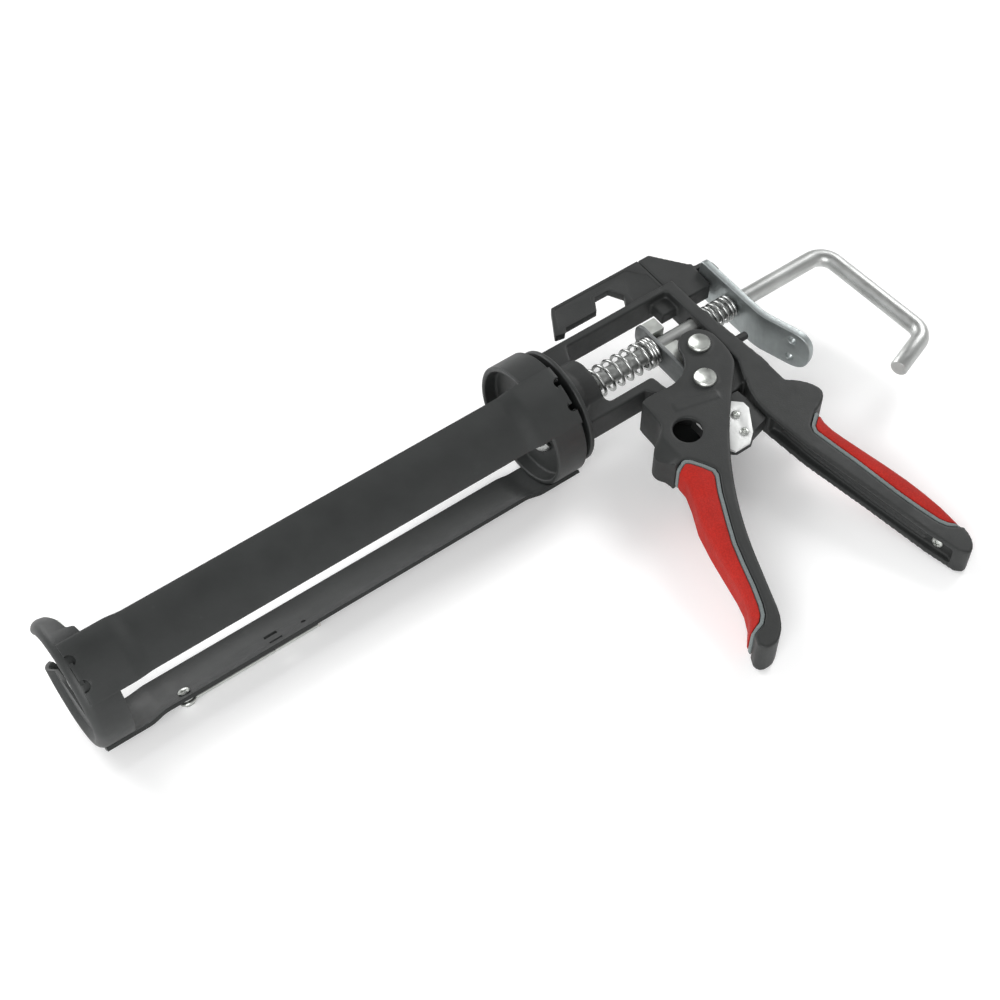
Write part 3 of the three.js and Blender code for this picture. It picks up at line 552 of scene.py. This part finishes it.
def front_cap():
    wall, edge, recess = 1.6, 4.0, 2.6
    inner = CAP_FACE + wall + recess
    outside = arc(CAP_FACE + edge, RING_R - edge, edge, 180, 90)
    inside = arc(CAP_FACE + edge, RING_R - edge, edge - wall, 90, 180)
    face = CAP_FACE + recess
    profile = [(face, 0), (face, 21.6), (face - 0.5, 22.2), (CAP_FACE + 0.3, 24.0)]
    profile += [*outside[1:], (CAP_REAR + 0.3, RING_R), (CAP_REAR, RING_R - 0.4)]
    profile += [(CAP_REAR, RING_R - wall), *inside[:-1]]
    profile += [(CAP_FACE + wall + 0.1, 24.0), (inner, 21.2), (inner, 0)]
    cap = lathe("cap", profile, 128)
    notch = slab("tool", [
        (-17, 40, 0), (-16, 27, 3), (-10.5, 10, 12), (-10.5, -3, 10.4), (-10.4, -13.4, 10.3),
        (10.4, -13.4, 10.3), (10.5, -3, 10.4), (10.5, 10, 12), (16, 27, 3), (17, 40, 0),
    ], -12, 14)
    notch.data.transform(Matrix.Translation((CAP_FACE, 0, 0)) @ Matrix.Rotation(-math.pi / 2, 4, "Y"))
    scoop = slab("tool", [
        (-190, -0.6, 0), (-206.2, -0.6, 0.8), (-207, 4.6, 1.5), (-209.8, 5.6, 1.5),
        (-211, 13, 5), (-213.4, 20, 5), (-216.8, 24, 3), (-216.8, 40, 0), (-190, 40, 0),
    ], -40, 40)
    cut(cap, notch, scoop)
    bevelled(cap, 0.45, 3, 40)
    return place(cap, "front_cap_shell", "cradle", CHARCOAL, ["front_cap"], 35)


def cradle_ring():
    inner, rear = RING_BORE_R, RING_REAR
    profile = [
        (0.6, RING_R), (14.3, RING_R), (rear, RING_R - 0.5), (rear, inner + 0.4), (14.4, inner), (9.6, inner),
        (9, inner - 0.6), (9, 12.9), (8.7, 12.6), (6.8, 12.6), (6.5, 12.9), (6.5, inner - 1.2),
        *arc(5.3, inner - 1.2, 1.2, 0, 90, 5)[1:], (0.5, inner), (0, inner + 0.5), (0, RING_R - 0.6),
    ]
    ring = lathe("ring", profile, 128)
    rim = lathe("rim", [
        (1.0, RING_R - 0.2), (1.4, RING_R), (2.4, RING_R), (2.8, RING_R - 0.2), (1.9, RING_R - 0.9),
    ], 128)
    ring = join(ring, rim)
    tools = []
    for side in (1, -1):
        tools += [tab_slot(side, 13.3, 16), *relief_holes(side, STRIP_REAR - 0.9, 2.1)]
    cut(ring, *tools)
    return place(ring, "ring_shell", "cradle", CHARCOAL, ["cradle_ring"], 35)


def on_pin(obj):
    """Carries a piece made with +Z outwards to the wire's pivot on the right strip."""
    obj.data.transform(Matrix.Rotation(math.pi / 2, 4, "X"))
    around(obj, PIN_ANGLE)
    obj.data.transform(Matrix.Translation((PIN_X, 0, 0)))
    return obj


def upright(name, profile, sides=48):
    """Solid of revolution about Z from (height, radius)."""
    obj = lathe(name, profile, sides)
    obj.data.transform(Matrix.Rotation(-math.pi / 2, 4, "Y"))
    return obj


def piercing_wire():
    top = WIRE_RADIUS + WIRE_R + 0.8
    seat = STRIP_R + STRIP_T + 0.2
    low, high = WIRE_RADIUS - 1.2, WIRE_RADIUS + 1.1
    stem = upright("stem", [
        (STRIP_R + 0.8, 0), (STRIP_R + 0.8, 1.0), (STRIP_R - 0.9, 1.3), (STRIP_R - 1.2, 1.7),
        (STRIP_R - 1.2, 2.2), (STRIP_R - 0.8, 2.6), (STRIP_R - 0.35, 2.6), (STRIP_R - 0.35, 1.5),
        (seat, 1.5), (seat, 2.9),
        (low, 2.9), (low, 1.4), (high, 1.4), (high, 2.6), (top - 0.2, 2.3), (top, 1.2), (top, 0),
    ])
    place(on_pin(stem), "wire_rivet", "cradle", ZINC, ["pin_rivet"])
    turns = [math.radians(8 + 344 * k / 40) for k in range(41)]
    eye = [Vector((EYE_R * math.cos(a), EYE_R * math.sin(a), 0)) for a in reversed(turns)]
    straight = [Vector((EYE_R + 0.4 + (WIRE_LENGTH - 3.4) * k / 12, 0.0, 0)) for k in range(13)]
    tip = [Vector((WIRE_LENGTH - 0.2, 0.3, 0)), Vector((WIRE_LENGTH, 0.8, 0))]
    wire = sweep("wire", eye + straight + tip, WIRE_R - 0.02, 14)
    wire.data.transform(Matrix.Translation((0, 0, WIRE_RADIUS)))
    place(on_pin(wire), "seal_piercer", "piercer", ZINC, ["piercing_wire"], 60)


# ------------------------------------------------------------------ frame
def channel_ribs():
    """Lengthwise ribs in the front channel of the handle."""
    floor = [(92.1, -67), (93.3, -84), (97.7, -116), (100.9, -136), (102.3, -143.6)]
    raised = [(x - 1.1, y) for x, y in reversed(floor)]
    return [slab("rib", sharp(floor + raised), z - 0.45, z + 0.45) for z in (-2.4, 0, 2.4)]


def body_casting():
    body = cad_copy("body_frame")
    extras = [
        slab("bead", sharp([(26, 21.6), (94, 21.6), (94, 23.1), (26, 23.1)]), -7.2, 7.2),
        cylinder_z("lug", 8.6, PIVOT, -7.2, 7.2),
        slab("gusset", [(60, -20, 0), (60, -16, 2), (52, -15.7, 0), (46, -20.2, 0)], -7, 7),
        lathe("collar", [
            (26, 4.6), (26, 14.6), (27.4, 14.6), (28.4, 14.0), (35.2, 14.0), (35.9, 13.2), (35.9, 4.6),
        ], 64),
    ]
    body = gathered("body", body, *extras, *channel_ribs())
    cut(body, cylinder_x("bore", 4.45, 0, 130), cylinder_z("pin", PIN_HOLE_R, PIVOT, -10, 10))
    cast_skin(body)
    return place(body, "gun_casting", "gun_frame", CASTING, ["body_frame"], 180)


def boss_flange():
    flange = lathe("flange", [
        (18.2, 12.6), (18.2, 25.6), *arc(19.0, 25.6, 0.8, 180, 90, 4)[1:], *arc(19.8, 25.6, 0.8, 90, 0, 4),
        (20.6, 25.6), (20.6, 12.6),
    ], 96)
    hub = lathe("hub", [(17.9, 12.7), (17.9, 15.4), (20.9, 16.6), (20.9, 12.7)], 96)
    return place(join(flange, hub), "boss_disc", "gun_frame", CHARCOAL, ["boss_flange"], 35)


def retaining_clip():
    clip = lathe("clip", [(4.9, 11.4), (4.9, 14.7), (5.2, 15), (5.8, 15), (6.1, 14.7), (6.1, 11.4)], 80)
    cut(clip, block("tool", 4, 7, -30, 0, -3, 3))
    bevelled(clip, 0.2, 2)
    return place(clip, "snap_ring", "gun_frame", SPRING, ["retaining_clip"], 35)


def ladder_hook():
    hook = slab("hook", [
        (49.2, 43.3, 1.2), (98.4, 43.3, 0.4), (98.4, 23.6, 0.2), (79.3, 23.6, 0.6),
        (78.6, 26.5, 1), (80.6, 30.1, 0.8), (76.7, 36.9, 0.8), (68.9, 36.9, 0.8),
        (65, 30.2, 0.8), (47.6, 30.2, 1.5), (45.4, 27.9, 1), (40.6, 28.9, 0.9),
    ], 0.8, 4.4)
    field = slab("tool", [
        (50.2, 41.9, 0.6), (90.5, 41.9, 0.6), (97, 34, 0), (97, 24.8, 0), (82, 24.8, 1),
        (82.6, 30.1, 1), (77.7, 38.6, 1), (67.9, 38.6, 1), (63.9, 31.6, 1), (44.9, 31.6, 1),
    ], 4.15, 6)
    cut(hook, field)
    bevelled(hook, 0.3, 3, 35)
    return place(hook, "hanging_hook", "gun_frame", CASTING, ["ladder_hook"], 35)


def stop_pin():
    pin = lathe("stop", [(99, 0), (99, 1.9), (109.6, 1.9), *arc(109.6, 1.0, 0.9, 90, 0, 5), (110.5, 0)], 40)
    pin.data.transform(Matrix.Translation((0, -19.5, 3.6)))
    return place(pin, "lever_stop", "gun_frame", CASTING, ["lever_stop_pin"], 40)


def grips():
    pieces = [
        ("handle_grip", "gun_frame", "red_grip", RED, CAST_VOXEL, CAST_SMOOTHING),
        ("trigger_grip", "trigger", "red_grip", RED, CAST_VOXEL, CAST_SMOOTHING),
        ("handle_border", "gun_frame", "grey_border", BORDER, 0.35, 3),
        ("trigger_border", "trigger", "grey_border", BORDER, 0.35, 3),
    ]
    for node, body, slot, material, voxel, smoothing in pieces:
        grip = cad_copy(node)
        cast_skin(grip, voxel, smoothing)
        place(grip, node + "_moulding", body, material, [node], 180)


def cross_screw(name, head_r, head_h, shank_r, shank_l, node, matrix):
    """Pan-head screw with a cross recess, head up, seat at Z = 0."""
    screw = upright("screw", [
        (-shank_l, 0), (-shank_l, shank_r * 0.6), (-shank_l + 0.6, shank_r), (-0.02, shank_r),
        (0, head_r - 0.15), (0.15, head_r), (head_h * 0.45, head_r), (head_h * 0.8, head_r * 0.82),
        (head_h, head_r * 0.5), (head_h, 0),
    ])
    arm = head_r * 0.62
    slots = []
    for turn in (0, math.pi / 2):
        slot = block("slot", -arm, arm, -0.3, 0.3, head_h * 0.35, head_h + 1)
        slot.data.transform(Matrix.Rotation(turn + 0.4, 4, "Z"))
        slots.append(slot)
    cut(screw, *slots)
    screw.data.transform(matrix)
    return place(screw, name, "gun_frame", ZINC, [node], 35)


def handle_screw():
    down = Matrix.Rotation(math.radians(-90), 4, "Y")
    turn = Matrix.Rotation(math.radians(HANDLE_SCREW_TILT) + math.pi / 2, 4, "Z")
    at = Matrix.Translation(HANDLE_SCREW) @ turn @ down
    cross_screw("grip_screw", 2.55, 1.55, 1.35, 3.9, "handle_screw", at)


def cutter():
    housing = slab("housing", [
        (60.6, -42.1, 0.5), (85.9, -42.1, 0.8), (86.3, -50, 2), (86.2, -61, 1),
        (77.6, -63.3, 1), (74.8, -65.3, 0.8), (67, -65.3, 1), (60.6, -60, 1),
    ], -2.6, 4.55)
    recess = slab("tool", [(63, -45, 1), (84, -45, 1), (84, -58, 1), (63, -58, 1)], -8, -1.4)
    cut(housing, recess)
    bevelled(housing, 0.5, 3)
    place(housing, "cutter_body", "gun_frame", CASTING, ["cutter_housing"], 35)
    blade = slab("blade", [
        (59.45, -46.1, 0.2), (79, -46.1, 0.5), (82.75, -49.6, 0.6), (82.75, -53.2, 0.6), (75.5, -64.4, 0.6),
        (71, -67.9, 0.6), (63, -67.9, 0.6), (59.45, -62, 0.2),
    ], 4.95, 6.2)
    for at in CUTTER_SCREWS:
        cut(blade, cylinder_z("tool", 1.25, at, 3, 8, 24))
    bevelled(blade, 0.2, 2)
    place(blade, "cutter_plate", "gun_frame", BLADE, ["cutter_blade"], 35)
    for node, at in zip(("cutter_screw_upper", "cutter_screw_lower"), CUTTER_SCREWS):
        cross_screw(node + "_head", 1.95, 0.78, 0.9, 5.6, node, Matrix.Translation((*at, 6.45)))


# ------------------------------------------------------------------ trigger and drive
def trigger_casting():
    body = cad_copy("trigger")
    extras = []
    for z0, z1 in ((7.5, 10.0), (-10.0, -7.5)):
        for at in (PIVOT, DRIVE):
            seat = cylinder_z("seat", SEAT_R, at, z0, z1)
            extras.append(cut(seat, cylinder_z("tool", PIN_HOLE_R, at, -12, 12)))
    panel = slab("panel", [
        (55.4, -35.0, 0.4), (75.1, -39.9, 0.4), (74.4, -43.5, 0.4), (54.5, -38.6, 0.4),
    ], 7.6, 10.1)
    body = gathered("trigger_body", body, *extras, panel)
    cast_skin(body)
    # The cheeks thin out towards the finger part, and the lobe in front of the cutting hole narrows.
    cheek_from, cheek_run = -42, 16
    lobe_rear, lobe_low = 41.5, -60.5
    for vertex in body.data.vertices:
        x, y, z = vertex.co
        if abs(z) > TRIGGER_HALF and y < cheek_from:
            extra = (abs(z) - TRIGGER_HALF) * eased((cheek_from - y) / cheek_run)
            vertex.co.z = math.copysign(abs(z) - extra, z)
        vertex.co.z *= 1 - 0.28 * eased((lobe_rear - x) / 8) * eased((y - lobe_low) / 4)
    return place(body, "trigger_casting", "trigger", CASTING, ["trigger"], 180)


def rivets():
    for node, at in (("trigger_rivet", PIVOT), ("drive_rivet", DRIVE)):
        half = [(0, 2.85), (10.15, 2.85), (10.15, 5.05), (10.6, 5.1)]
        half += [*arc(10.6, 3.6, 1.5, 90, 30, 5)[1:], (11.6, 3.0), (11.35, 2.4), (11.35, 0)]
        rivet = upright("rivet", [(-h, r) for h, r in reversed(half)][:-1] + half, 64)
        rivet.data.transform(Matrix.Translation((*at, 0)))
        place(rivet, node + "_head", "trigger", ZINC, [node], 35)


def drive_block():
    body = slab("block", [(75.2, -22, 0.6), (82.7, -22, 0.8), (82.7, 11.4, 0.8), (75.2, 11.4, 0.6)], -5, 5)
    cut(body, cylinder_x("tool", BORE_R, 70, 90), block("tool", 70, 90, -BORE_R, BORE_R, 0, 8))
    bevelled(body, 0.35, 3)
    place(body, "grip_block", "drive", ZINC, ["drive_block"], 35)
    plate = slab("plate", [(-6.5, -22, 0.6), (6.5, -22, 0.6), (6.5, 13, 5.5), (-6.5, 13, 5.5)], -75.2, -73.4)
    plate.data.transform(Matrix.Rotation(-math.pi / 2, 4, "Y"))
    cut(plate, cylinder_x("tool", BORE_R, 70, 90))
    bevelled(plate, 0.3, 3)
    # The spring plate takes the darkened steel: painted shade.
    return place(plate, "spring_plate", "drive", SHADED_SPRING_PLATE_STEEL, ["drive_block"], 35)


def coil(name, x0, x1, radius, turns, node):
    """Compression spring; turns are (closed at the front, open, closed at the rear)."""
    steps = 30
    closed = 2 * COIL_WIRE_R
    front, middle, rear = turns
    pitch = (x1 - x0 - closed - closed * (front + rear)) / middle
    path = []
    for k in range(round((front + middle + rear) * steps) + 1):
        turn = k / steps
        x = closed * min(turn, front) + pitch * min(max(turn - front, 0), middle)
        x += closed * max(turn - front - middle, 0)
        a = 2 * math.pi * turn
        path.append(Vector((x0 + COIL_WIRE_R + x, radius * math.cos(a), radius * math.sin(a))))
    spring = sweep(name, path, COIL_WIRE_R - 0.01, 12, up=Vector((1, 0, 0)))
    place(spring, name, "gun_frame", SPRING, [node], 60)
    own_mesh(spring)


def push_rod():
    lean = math.tan(math.radians(3.5))
    corner = (ROD_BACK + ROD_LEG * lean, -ROD_LEG)
    down = math.radians(19)
    end = (corner[0] - ROD_END * math.cos(down), corner[1] - ROD_END * math.sin(down))
    path = route([(-217, 0), (ROD_BACK, 0), corner, end], ROD_BEND)
    first, last = path[0], path[-1]
    chamfer, chamfer_r = 0.5, 3.6
    into = (path[-2] - last).normalized()
    body = [first + Vector((chamfer, 0, 0))] + path[1:-1] + [last + into * chamfer]
    rod = sweep("rod", [first] + body + [last], lambda t: chamfer_r if t in (0, 1) else ROD_R, 40)
    return place(rod, "rod_and_handle", "rod", ROD_ZINC, ["push_rod"], 45)


def plunger():
    disc = lathe("disc", [
        (-212.6, 4.35), (-212.6, 12), (-213.0, 14), (-213.55, 18), (-213.6, 23.6),
        *arc(-212.6, 23.6, 1.0, 180, 90, 5), (-209.0, 24.6), (-209.0, 23.6), (-211.4, 23.4),
        (-212.1, 22.6), (-212.0, 18), (-211.3, 14), (-211.2, 4.35),
    ])
    place(disc, "plunger_plate", "plunger", ZINC, ["plunger_disc"], 35)
    washer = lathe("washer", [
        (-210.9, 4.35), (-210.9, 8.8), (-210.7, 9), (-209.9, 9), (-209.7, 8.8), (-209.7, 4.35),
    ], 64)
    place(washer, "plunger_washer_ring", "rod", ZINC, ["plunger_washer"], 35)
    nut = cylinder_x("nut", 6.4, -215.9, -212.9, sides=6)
    chamfer = lathe("chamfer", [
        (-215.9, 0), (-215.9, 5.6), (-215.4, 6.4), (-213.4, 6.4), (-212.9, 5.9), (-212.9, 0),
    ], 48)
    boolean(nut, "INTERSECT", chamfer)
    cut(nut, cylinder_x("tool", 4.3, -218, -210))
    place(nut, "plunger_hex_nut", "rod", ZINC, ["plunger_nut"], 30)


def release_lever():
    """Bent plate: straight upper part, kinked tail with a round thumb end and two small holes."""
    front, thick, half, top, tail = 118.0, 3.5, 10.5, 22.6, 27.0
    kink_y, kink, bend_run = -18.5, math.radians(17.5), 8
    bend_from = kink_y + bend_run / 2
    radius = bend_run / kink
    length = -kink_y + tail
    blank = slab("lever", [
        (-4.5, top, 0), (-half, top, 7), (-half, -length, half), (half, -length, half), (half, top, 7),
        (4.5, top, 0),
    ], 0, thick)
    bm = bmesh.new()
    bm.from_mesh(blank.data)
    bpy.data.objects.remove(blank)
    steps = 6
    for k in range(steps + 1):
        plane = (0, bend_from - bend_run * k / steps, 0)
        whole = bm.verts[:] + bm.edges[:] + bm.faces[:]
        bmesh.ops.bisect_plane(bm, geom=whole, plane_co=plane, plane_no=(0, 1, 0))
    lever = new_object("lever", bm)
    cut(lever, cylinder_z("tool", 4.75, (0, 0), -2, 6))
    for u in (-5.3, 5.3):
        cut(lever, cylinder_z("tool", 1.9, (u, kink_y - 17.4), -2, 6, 32))
    bevelled(lever, 0.55, 3, 40)
    for vertex in lever.data.vertices:
        u, y, depth = vertex.co
        past = max(bend_from - y, 0)
        curve = min(past, bend_run)
        rest = past - curve
        bend = curve / radius
        x = radius * (1 - math.cos(bend)) + rest * math.sin(kink) + depth * math.cos(bend)
        drop = radius * math.sin(bend) + rest * math.cos(kink)
        vertex.co = (front + x, max(y, bend_from) - drop + depth * math.sin(bend), u)
    lever.data.flip_normals()
    # The lever takes the darkened zinc: painted shade.
    return place(lever, "release_plate", "lever", SHADED_LEVER_PLATE, ["release_lever"], 35)


# ------------------------------------------------------------------ build
cradle_strip(1)
cradle_strip(-1)
front_cap()
cradle_ring()
piercing_wire()
body_casting()
boss_flange()
retaining_clip()
ladder_hook()
stop_pin()
grips()
handle_screw()
cutter()
trigger_casting()
rivets()
drive_block()
coil("drive_spring", 36.3, 73.1, 6.5, (0.75, 6, 2.75), "main_spring")
coil("lever_spring", 102.7, 117.7, 5.3, (1, 3.5, 1), "release_spring")
push_rod()
plunger()
release_lever()


# ------------------------------------------------------------------ floor, light, camera
def floor():
    bm = bmesh.new()
    bmesh.ops.create_grid(bm, x_segments=2, y_segments=2, size=3)
    ground = new_object("floor", bm)
    ground.location.z = -0.0002
    material, tree, shader, where = node_material("pale_floor")
    tone = ramp(tree, noise(tree, where, 3, 3), [(0.3, grey(0.86)), (0.7, grey(0.9))])
    tree.links.new(tone, shader.inputs["Base Color"])
    shader.inputs["Roughness"].default_value = 0.9
    tree.links.new(tone, shader.inputs["Emission Color"])
    shader.inputs["Emission Strength"].default_value = 0.22
    ground.data.materials.append(material)


def area_light(name, location, aim, size, power, colour=(1, 1, 1)):
    data = bpy.data.lights.new(name, "AREA")
    data.shape = "DISK"
    data.size = size
    data.energy = power
    data.color = colour
    lamp = bpy.data.objects.new(name, data)
    scene.collection.objects.link(lamp)
    lamp.location = location
    lamp.rotation_euler = (Vector(aim) - Vector(location)).to_track_quat("-Z", "Y").to_euler()


def camera():
    """Photograph's viewpoint, fixed to the gun: 0.79 m away, over the nozzle end and the trigger side."""
    right = Vector((0.8090, -0.5878, 0.0))
    up = Vector((0.4755, 0.6545, 0.5878))
    back = Vector((-0.3455, -0.4755, 0.8090))
    basis = Matrix((right, up, back)).transposed().to_4x4()
    eye = GUN @ Vector((-294.7, -391.3, 620.6))
    data = bpy.data.cameras.new("photo_camera")
    data.lens = 66.24
    data.sensor_width = 36
    data.clip_start = 0.01
    view = bpy.data.objects.new("photo_camera", data)
    scene.collection.objects.link(view)
    view.matrix_world = Matrix.Translation(eye) @ TURN @ basis
    scene.camera = view


def world():
    """Soft studio surround: bright round the sides, darker overhead."""
    sky = bpy.data.worlds.new("studio")
    sky.use_nodes = True
    tree = sky.node_tree
    coordinates = tree.nodes.new("ShaderNodeTexCoord")
    split = tree.nodes.new("ShaderNodeSeparateXYZ")
    tree.links.new(coordinates.outputs["Generated"], split.inputs["Vector"])
    height = tree.nodes.new("ShaderNodeMapRange")
    height.inputs["From Min"].default_value = 0.0
    height.inputs["From Max"].default_value = 0.9
    height.inputs["To Min"].default_value = 0.8
    height.inputs["To Max"].default_value = 0.26
    tree.links.new(split.outputs["Z"], height.inputs["Value"])
    tree.links.new(height.outputs["Result"], tree.nodes["Background"].inputs["Strength"])
    tree.nodes["Background"].inputs["Color"].default_value = (1, 1, 1, 1)
    scene.world = sky


floor()
world()
area_light("front_side", (-0.95, -0.85, 0.75), (0, 0, 0.02), 1.0, 15)
area_light("back_side", (-0.35, 1.2, 0.8), (0, 0, 0.02), 1.0, 12)
area_light("rear", (1.1, 0.25, 0.9), (0.05, 0, 0.03), 0.7, 8)
camera()
scene.view_settings.view_transform = "Standard"
